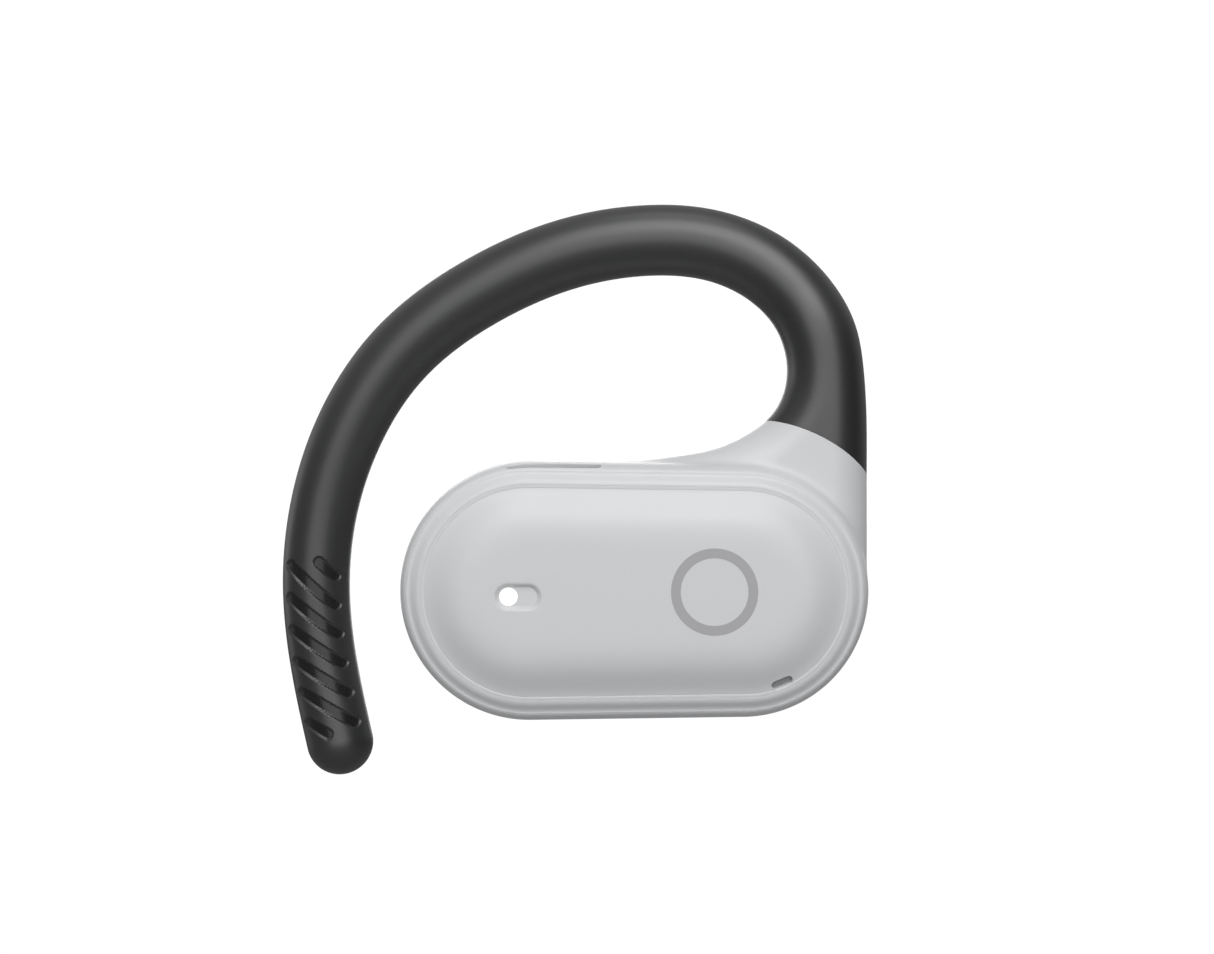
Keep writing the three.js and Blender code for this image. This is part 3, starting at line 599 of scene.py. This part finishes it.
def face_panel():
    side = [(3.0, -7.72), (1.962, -7.72), (1.961, -8.2), (1.964, -8.258), (1.969, -8.268), (1.981, -8.272),
            (2.21, -8.275), (2.226, -8.271), (2.235, -8.26), (2.244, -8.272), (2.26, -8.28)]
    profile = np.concatenate([side, face_profile()])
    columns = OUTLINE_POINTS
    points = list(pill_rings(profile))
    faces = ring_faces(len(profile), columns)
    edge = [(len(profile) - 1) * columns + j for j in range(columns)]
    faces.append(tuple(range(columns)))

    # The sunk locator: a rounded mouth, sloping sides and a flat floor.
    pocket = []
    for grow, depth in POCKET_LEVELS:
        rim = slot_outline(POCKET_LENGTH + 2 * grow, POCKET_WIDTH + POCKET_SPREAD * grow, POCKET_POINTS)
        first = len(points)
        points += [(POCKET_X + px, PLATEAU_Y + depth, POCKET_Z + pz) for px, pz in rim]
        pocket.append([first + j for j in range(POCKET_POINTS)])
    for upper, lower in zip(pocket, pocket[1:]):
        for j in range(POCKET_POINTS):
            k = (j + 1) % POCKET_POINTS
            faces.append((upper[j], upper[k], lower[k], lower[j]))
    faces.append(tuple(pocket[-1]))
    flat = edge + pocket[0]
    loops = [[Vector((points[i][0], points[i][2], 0)) for i in loop] for loop in (edge, pocket[0])]
    faces += [tuple(flat[i] for i in tri) for tri in tessellate_polygon(loops)]
    panel = make("face", points, faces)
    slot = slot_tool("mic_slot", mic_place(0), MIC_RIGHT, MIC_OUT, MIC_LENGTH, MIC_WIDTH,
                     [(-0.7, 0), (-0.03, 0), (0.0, 0.01), (0.05, 0.05), (0.4, 0.3)], 44)
    cut(panel, [slot])
    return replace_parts(panel, "face_panel")


def mic_place(depth):
    """Where the microphone's slot meets the panel, or the same point sunk by depth."""
    inset = FRONT_R - math.hypot(MIC_X - FRONT_X, MIC_Z - HOUSING_Z)
    profile = face_profile()
    surface = np.interp(inset, profile[:, 0], profile[:, 1])
    return np.array([MIC_X, surface, MIC_Z]) - np.array(MIC_OUT) * depth


def mesh_plate(name, centre, right, out, length, width, node, thickness=0.06):
    plate = slot_tool(name, centre, right, out, length, width, [(0, 0), (thickness, 0)], 48)
    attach(plate, "housing")
    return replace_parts(plate, node)


def turned(x, y, z, levels, sides):
    """Rings round an axis along the depth. Each level is (radius, depth past y)."""
    a = 2 * np.pi * np.arange(sides) / sides
    return np.concatenate([np.stack([x + r * np.cos(a), np.full(sides, y + past), z + r * np.sin(a)], 1)
                           for r, past in levels])


def lens():
    levels = [(LENS_R, 0.2), (LENS_R, 0.0), (LENS_R - 0.03, -0.05), (LENS_R - 0.1, -0.08),
              (LENS_R * 0.5, -0.11), (LENS_R * 0.1, -0.12)]
    points = turned(LENS_X, PLATEAU_Y + POCKET_DEPTH, POCKET_Z, levels, LENS_SIDES)
    last = (len(levels) - 1) * LENS_SIDES
    faces = ring_faces(len(levels), LENS_SIDES)
    faces += [tuple(range(LENS_SIDES)), tuple(last + j for j in range(LENS_SIDES))]
    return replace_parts(make("lens", points, faces), "light_pipe")


def printed_ring():
    levels = [(RING_INNER, 0.0), (RING_INNER, -RING_THICK), (RING_OUTER, -RING_THICK), (RING_OUTER, 0.0)]
    points = turned(RING_X, PLATEAU_Y, RING_Z, levels, RING_SIDES)
    return make("printed_ring", points, ring_faces(len(levels), RING_SIDES, True))


# ---- Ear cover ----
OUTLET_X, OUTLET_Z = 5.8, -27.2
OUTLET_LENGTH, OUTLET_WIDTH, OUTLET_TOP_Y, OUTLET_GAUZE_Y = 7.2, 2.8, 4.4, 3.9
OUTLET_GAUZE_MARGIN = 0.04
MOUND_HEIGHT, MOUND_TOP, MOUND_FOOT, MOUND_STRETCH = 2.0, 3.9, 7.7, 1.18
COVER_EDGE, COVER_MIDDLE = 1.1, 10.45
COVER_ROUND_INSET, COVER_ROUND_WIDTH, COVER_RISE, COVER_CURVE = 1.02, 4.2, 1.66, 2.6
CONTACT_X, CONTACT_Y, CONTACT_ZS = -12.5, 2.4, (-24.9, -28.5)
CONTACT_LENGTH, CONTACT_WIDTH = 1.961, 1.96


def cover_height(x, z, base):
    """Depth of the ear cover's outer face: a raised mound over the speaker on a nearly flat cover."""
    reach = np.hypot((x - OUTLET_X) / MOUND_STRETCH, z - OUTLET_Z)
    t = np.clip((reach - MOUND_TOP) / (MOUND_FOOT - MOUND_TOP), 0, 1)
    mound = MOUND_HEIGHT * (1 - t ** 2 * (3 - 2 * t))
    return base + mound


def across_middle():
    """For each place round the outline, the place straight across from it."""
    x, r, nx, nz = OUTLINE
    along, up = x + nx * r, nz * r
    return np.hypot(along[:, None] - along[None], up[:, None] + up[None]).argmin(1)


def ear_cover():
    inset = np.concatenate([np.linspace(COVER_EDGE, 3.0, 26), np.linspace(3.1, COVER_MIDDLE, 62)])
    t = np.clip((inset - COVER_ROUND_INSET) / COVER_ROUND_WIDTH, 0, 1)
    base = REAR_SEAM_Y + 0.12 + COVER_RISE * (1 - (1 - t) ** COVER_CURVE)
    wall = [(3.3, 1.25), (3.2, 0.2), (1.3, 0.25), (1.06, REAR_SEAM_Y + 0.04), (inset[0], base[0])]
    side = rounded(wall, 0.08, 3)
    profile = np.concatenate([side[:-1], np.stack([inset, base], 1)])
    points = pill_rings(profile)
    raised = np.repeat(profile[:, 0] >= inset[0], OUTLINE_POINTS)
    height = cover_height(points[:, 0], points[:, 2], points[:, 1])
    points[:, 1] = np.where(raised, height, points[:, 1])
    columns = OUTLINE_POINTS
    faces = ring_faces(len(profile), columns)
    faces.append(tuple(range(columns)))
    # The innermost ring closes along the housing's middle line, each side to the one facing it.
    last, mirror = (len(profile) - 1) * columns, across_middle()
    for j in range(columns):
        k = (j + 1) % columns
        corners = [j, k, mirror[k], mirror[j]]
        if OUTLINE[3][j] > 0 or OUTLINE[3][k] > 0:
            faces.append(tuple(dict.fromkeys(last + int(c) for c in corners)))
    faces = [f for f in faces if len(f) > 2]
    cover = make("ear_cover_shell", points, faces)
    bpy.context.view_layer.update()
    tools = [slot_tool("outlet", (OUTLET_X, OUTLET_TOP_Y, OUTLET_Z), (1, 0, 0), (0, 1, 0), OUTLET_LENGTH,
                       OUTLET_WIDTH, [(-3.0, 0), (-0.35, 0), (-0.22, 0.02), (-0.1, 0.1), (0.0, 0.24),
                                      (0.4, 0.8)], 72)]
    for z in CONTACT_ZS:
        tools.append(slot_tool("contact_hole", (CONTACT_X, CONTACT_Y, z), (1, 0, 0), (0, 1, 0),
                               CONTACT_LENGTH, CONTACT_WIDTH,
                               [(-1.5, 0), (-0.05, 0), (0.02, 0.05), (0.3, 0.3)], 40))
    cut(cover, tools)
    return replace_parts(cover, "ear_cover")


# ---- Hook ----
GROOVES, GROOVE_PITCH, GROOVE_WIDTH, GROOVE_DEPTH = 7, 2.645, 1.06, 0.17
GROOVE_REACH = 2.55
GROOVE_EDGE = 0.12
GROOVE_SLANT = math.radians(42)
TIP_GROOVE_END, TOP_GROOVE_START = -0.65, 0.75  # the first and last grooves are short
GROOVE_FADES_FROM, GROOVE_FADES_OVER = 0.2, 0.1  # towards the hook's edges
GRIP_SIDES, GRIP_STEP, GRIP_LENGTH = 272, 0.08, 19.4
LAST_GROOVE = 0.45


def groove_depth(s, r, angle):
    """Depth of the grip grooves at each ring and each place round it, the same on both faces."""
    tip = LENGTHS[-1]
    across = -r[:, None] * np.cos(angle)[None]
    facing = np.abs(np.sin(angle))[None]
    from_tip = tip - s[:, None] + 0 * across
    total = np.zeros_like(across)
    for i in range(GROOVES):
        centre = LAST_GROOVE + i * GROOVE_PITCH
        along = across * math.cos(GROOVE_SLANT) - (from_tip - centre) * math.sin(GROOVE_SLANT)
        over = across * math.sin(GROOVE_SLANT) + (from_tip - centre) * math.cos(GROOVE_SLANT)
        low, high = -GROOVE_REACH, GROOVE_REACH
        if i == 0:
            high = TIP_GROOVE_END
        if i == GROOVES - 1:
            low = TOP_GROOVE_START
        middle, half = (low + high) / 2, (high - low) / 2
        edge = np.hypot(np.maximum(np.abs(along - middle) - half, 0), over) - GROOVE_WIDTH / 2
        t = np.clip(-edge / GROOVE_EDGE, 0, 1)
        total = np.maximum(total, GROOVE_DEPTH * t * t * (3 - 2 * t))
    return total * np.clip((facing - GROOVE_FADES_FROM) / GROOVE_FADES_OVER, 0, 1)


def mark_floors(obj, places):
    """Gives the grooves' floors the second material."""
    angle = 2 * np.pi * np.arange(GRIP_SIDES) / GRIP_SIDES
    deep = groove_depth(places, spine_at(places)[4], angle) > 0.9 * GROOVE_DEPTH
    floor = deep[:-1] & deep[1:] & np.roll(deep, -1, 1)[:-1] & np.roll(deep, -1, 1)[1:]
    index = np.zeros(len(obj.data.polygons), int)
    index[:floor.size] = floor.ravel()
    obj.data.materials.append(None)
    obj.data.materials.append(None)
    obj.data.polygons.foreach_set("material_index", index)


def spans(a, b, step):
    """Even places from a to b, with one more close to each end so that neighbouring pieces shade alike."""
    inner = np.linspace(a, b, max(3, int((b - a) / step)))
    return np.concatenate([[a, a + 0.01], inner[1:-1], [b - 0.01, b]])


def hook_sleeves():
    front, rear = length_at(FRONT_SEAM), length_at(REAR_SEAM)
    root = tube("sleeve_a", spans(0.0, front, SLEEVE_STEP), join_neck=True)
    cut(root, [parting_core("sleeve_cut", PARTING_RADIUS + SEAM_GAP)])
    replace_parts(root, "sleeve_root", "sleeve_front")
    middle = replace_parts(tube("sleeve_b", spans(front, rear, SLEEVE_STEP)), "sleeve_rear")
    start_of_grip = LENGTHS[-1] - GRIP_LENGTH
    grip = np.arange(start_of_grip, LENGTHS[-1], GRIP_STEP)
    places = np.concatenate([spans(rear, start_of_grip, SLEEVE_STEP)[:-2], grip, LENGTHS[-1:]])
    tail = tube("sleeve_c", places, sides=GRIP_SIDES, round_end=True, displace=groove_depth)
    mark_floors(tail, places)
    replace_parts(tail, "sleeve_tail")
    return root, middle, tail


def core_wires():
    front, rear = length_at(FRONT_SEAM), length_at(REAR_SEAM)
    bounds = [length_at(WIRE_START), front, rear, LENGTHS[-1] - WIRE_END_GAP]
    wires = [tube(f"wire_{n}", spans(a, b, WIRE_STEP), WIRE_R, WIRE_SIDES)
             for n, a, b in zip("abc", bounds, bounds[1:])]
    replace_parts(wires[0], "core_wire")
    return wires


# Where each length of the hook bends: the two bodies, and the points where the bend starts and ends.
FLEXES = [("housing", "hook_front", (13.9, -2.85, -9.0), (10.3, -1.7, -0.6)),
          ("hook_front", "hook_rear", (-1.5, 0.0, 3.0), (-14.0, 1.3, -0.7)),
          ("hook_rear", "hook_tail", (-22.0, 1.9, -5.5), (-30.0, 2.5, -21.2))]


def flex(parts):
    for part, (a, b, start, end) in zip(parts, FLEXES):
        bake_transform(part)


shell = main_shell()
cover = bezel()
panel = face_panel()
light = lens()
ring = printed_ring()
back = ear_cover()
sleeves = hook_sleeves()
wires = core_wires()
mic_gauze = mesh_plate("mic_gauze", mic_place(MIC_GAUZE_DEPTH), MIC_RIGHT, MIC_OUT, MIC_LENGTH, MIC_WIDTH,
                       "mic_mesh")
speaker_gauze = mesh_plate("speaker_gauze", (OUTLET_X, OUTLET_GAUZE_Y, OUTLET_Z), (1, 0, 0), (0, 1, 0),
                           OUTLET_LENGTH + OUTLET_GAUZE_MARGIN, OUTLET_WIDTH + OUTLET_GAUZE_MARGIN,
                           "speaker_mesh")
vent_gauze = mesh_plate("vent_gauze", vent_place(VENT_GAUZE_DEPTH), (1, 0, VENT_RISE), VENT_OUT, VENT_LENGTH,
                        VENT_WIDTH, "vent_mesh")
follow_outline(vent_gauze)
flex(sleeves)
flex(wires)


# ---- Materials ----
def material(name, colour, roughness, metallic=0.0, grain=0.0, grain_size=0.2, bump=0.1, spread=0.05,
             **extra):
    """Plain finish with fine grain: noise moves the roughness and the surface."""
    made = bpy.data.materials.new(name)
    made.use_nodes = True
    nodes, links = made.node_tree.nodes, made.node_tree.links
    shader = nodes["Principled BSDF"]
    shader.inputs["Base Color"].default_value = (*colour, 1)
    shader.inputs["Metallic"].default_value = metallic
    for key, value in extra.items():
        shader.inputs[key.replace("_", " ")].default_value = value
    place = nodes.new("ShaderNodeTexCoord")
    noise = nodes.new("ShaderNodeTexNoise")
    noise.inputs["Scale"].default_value = 1 / (grain_size * MM)
    noise.inputs["Detail"].default_value = 3
    links.new(place.outputs["Object"], noise.inputs["Vector"])
    rough = nodes.new("ShaderNodeMapRange")
    rough.inputs["To Min"].default_value = roughness - spread
    rough.inputs["To Max"].default_value = roughness + spread
    links.new(noise.outputs["Fac"], rough.inputs["Value"])
    links.new(rough.outputs["Result"], shader.inputs["Roughness"])
    relief = nodes.new("ShaderNodeBump")
    relief.inputs["Strength"].default_value = bump
    relief.inputs["Distance"].default_value = grain * MM
    links.new(noise.outputs["Fac"], relief.inputs["Height"])
    links.new(relief.outputs["Normal"], shader.inputs["Normal"])
    return made


FINISHES = {
    "shell": material("satin_plastic", (0.597, 0.604, 0.616), 0.38, grain=0.01, grain_size=0.09, bump=0.25,
                      Sheen_Weight=0.25, Sheen_Roughness=0.4),
    "face": material("satin_face", (0.589, 0.596, 0.608), 0.36, grain=0.01, grain_size=0.09, bump=0.25,
                     Sheen_Weight=0.15, Sheen_Roughness=0.4),
    "silicone": material("soft_silicone", (0.0095, 0.01, 0.01), 0.4, grain=0.01, grain_size=0.12, bump=0.25,
                         Specular_IOR_Level=0.95),
    # The grooves' floors: glossier than the silicone, and darker in colour as painted shade in the hollows.
    "gloss": material("glossy_groove_floor_painted_shade", (0.007, 0.007, 0.007), 0.27, grain=0.01, grain_size=0.12, bump=0.1,
                      spread=0.03),
    # The lens: milky white, and its emission is a painted glow that makes it look pure white.
    "lens": material("milky_lens_painted_glow", (0.9, 0.9, 0.9), 0.2, grain=0.005, bump=0.1,
                     Emission_Color=(1, 1, 1, 1), Emission_Strength=0.5),
    "steel_mesh": material("steel_mesh", (0.2, 0.2, 0.21), 0.4, 0.8, grain=0.05, grain_size=0.1, bump=0.6),
    "pale_mesh": material("pale_mesh", (0.3, 0.305, 0.31), 0.6, grain=0.05, grain_size=0.1, bump=0.6),
    "board": material("board", (0.02, 0.07, 0.04), 0.4, grain=0.02, bump=0.3),
    "chip": material("chip", (0.02, 0.02, 0.022), 0.5, grain=0.01, bump=0.3),
    "can": material("steel", (0.6, 0.6, 0.61), 0.3, 1.0, grain=0.01, bump=0.2),
    "wire": material("wire", (0.4, 0.4, 0.42), 0.35, 1.0, grain=0.01, bump=0.2),
    "gold": material("gold", (0.78, 0.54, 0.2), 0.25, 1.0, grain=0.01, bump=0.15),
    "copper": material("copper", (0.6, 0.25, 0.12), 0.35, 1.0, grain=0.02, bump=0.4),
    "frame": material("filled_plastic", (0.03, 0.031, 0.033), 0.5, grain=0.02, bump=0.3),
    "rubber": material("foam", (0.02, 0.02, 0.021), 0.85, grain=0.06, bump=0.6),
    "film": material("film", (0.45, 0.24, 0.07), 0.3, grain=0.005, bump=0.1),
    "print": material("grey_print", (0.36, 0.355, 0.37), 0.45, grain=0.005, bump=0.2),
}


def paint(obj, finish):
    obj.data.materials.clear()
    obj.data.materials.append(FINISHES[finish])


for part in frame["record"]["subparts"]:
    frame["nodes"][part["node"]].data.materials.clear()
    frame["nodes"][part["node"]].data.materials.append(FINISHES[part["material_slot"]])
for obj in (shell, cover, back):
    paint(obj, "shell")
paint(panel, "face")
paint(light, "lens")
paint(ring, "print")
for obj in sleeves[:2]:
    paint(obj, "silicone")
sleeves[2].data.materials[0] = FINISHES["silicone"]
# The grooves' floors take the glossy material, whose darker colour is painted shade.
sleeves[2].data.materials[1] = FINISHES["gloss"]
for obj in wires:
    paint(obj, "wire")
for obj in (mic_gauze, vent_gauze):
    paint(obj, "pale_mesh")
paint(speaker_gauze, "steel_mesh")


# ---- Floor, light and camera ----
def light_path_mix(tree, shown, lit):
    """What the camera sees directly, and what lights the object."""
    path = tree.nodes.new("ShaderNodeLightPath")
    mix = tree.nodes.new("ShaderNodeMixShader")
    tree.links.new(path.outputs["Is Camera Ray"], mix.inputs["Fac"])
    tree.links.new(lit, mix.inputs[1])
    tree.links.new(shown, mix.inputs[2])
    return mix.outputs["Shader"]


FLOOR_Z, FLOOR_SIZE = -170, 6
WHITE = 1.05
bpy.ops.mesh.primitive_plane_add(size=FLOOR_SIZE, location=(0, 0, FLOOR_Z * MM))
floor = bpy.context.object
floor.name = "floor"
pale = bpy.data.materials.new("pale_floor")
pale.use_nodes = True
tree = pale.node_tree
tree.nodes["Principled BSDF"].inputs["Base Color"].default_value = (0.3, 0.3, 0.3, 1)
tree.nodes["Principled BSDF"].inputs["Roughness"].default_value = 0.9
floor_white = tree.nodes.new("ShaderNodeEmission")
floor_white.inputs["Strength"].default_value = WHITE
tree.links.new(light_path_mix(tree, floor_white.outputs[0], tree.nodes["Principled BSDF"].outputs[0]),
               tree.nodes["Material Output"].inputs["Surface"])
floor.data.materials.append(pale)

# Each glow lights one side of the sky: direction, where it begins and is full, strength.
GLOWS = [
    ((0, 0, 1), -0.1, 0.6, 0.28),
    ((0, 0, -1), -0.1, 0.6, 0.58),
    ((-1, 0, 0), 0.0, 0.7, 0.26),
    ((0, 1, 0), 0.0, 0.5, 0.38),
]
# Each softbox: name, elevation and azimuth from the viewer's side in degrees, width, height, power.
SOFTBOXES = [
    ("front", 15, 1, 0.7, 0.5, 1.9),
    ("upper", 48, 3, 0.46, 0.34, 1.75),
    ("side", 32, 36, 0.24, 0.5, 0.05),
    ("top", 85, 0, 0.28, 0.2, 0.3),
    ("rear_left", 0, -115, 0.2, 0.3, 0.15),
    ("rear", 8, 180, 0.4, 0.3, 1.0),
]
BOX_DISTANCE = 0.6
LIT_POINT = (0, 0, -0.02)
CAMERA_PLACE = (-0.004547, -0.18164, -0.017246)
CAMERA_LENS, CAMERA_SENSOR = 62.78, 36


def glow(tree, direction, low, high, strength):
    """Light from the side of the sky that lies along direction."""
    place = tree.nodes.new("ShaderNodeTexCoord")
    along = tree.nodes.new("ShaderNodeVectorMath")
    along.operation = "DOT_PRODUCT"
    along.inputs[1].default_value = direction
    tree.links.new(place.outputs["Generated"], along.inputs[0])
    fade = tree.nodes.new("ShaderNodeMapRange")
    fade.interpolation_type = "SMOOTHSTEP"
    fade.inputs["From Min"].default_value = low
    fade.inputs["From Max"].default_value = high
    fade.inputs["To Max"].default_value = strength
    tree.links.new(along.outputs["Value"], fade.inputs["Value"])
    return fade.outputs["Result"]


world = bpy.data.worlds.new("studio")
bpy.context.scene.world = world
world.use_nodes = True
tree = world.node_tree
white = tree.nodes["Background"]
white.inputs["Color"].default_value = (1, 1, 1, 1)
white.inputs["Strength"].default_value = WHITE
soft = tree.nodes.new("ShaderNodeBackground")
total = glow(tree, *GLOWS[0])
for side in GLOWS[1:]:
    both = tree.nodes.new("ShaderNodeMath")
    tree.links.new(total, both.inputs[0])
    tree.links.new(glow(tree, *side), both.inputs[1])
    total = both.outputs[0]
tree.links.new(total, soft.inputs["Strength"])
tree.links.new(light_path_mix(tree, white.outputs[0], soft.outputs[0]),
               tree.nodes["World Output"].inputs["Surface"])


def softbox(name, elevation, azimuth, width, height, power):
    up, turn = math.radians(elevation), math.radians(azimuth)
    out = Vector((math.cos(up) * math.sin(turn), -math.cos(up) * math.cos(turn), math.sin(up)))
    data = bpy.data.lights.new(name, "AREA")
    data.shape = "RECTANGLE"
    data.size, data.size_y = width, height
    data.energy = power
    lamp = bpy.data.objects.new(name, data)
    lamp.location = Vector(LIT_POINT) + out * BOX_DISTANCE
    lamp.rotation_euler = (-out).to_track_quat("-Z", "Y").to_euler()
    bpy.context.scene.collection.objects.link(lamp)


for box in SOFTBOXES:
    softbox(*box)

camera = bpy.data.objects.new("camera", bpy.data.cameras.new("camera"))
camera.data.lens = CAMERA_LENS
camera.data.sensor_width = CAMERA_SENSOR
camera.data.clip_start = 0.01
camera.location = CAMERA_PLACE
camera.rotation_euler = (math.radians(90), 0, 0)
bpy.context.scene.collection.objects.link(camera)
bpy.context.scene.camera = camera
bpy.context.scene.view_settings.view_transform = "Standard"
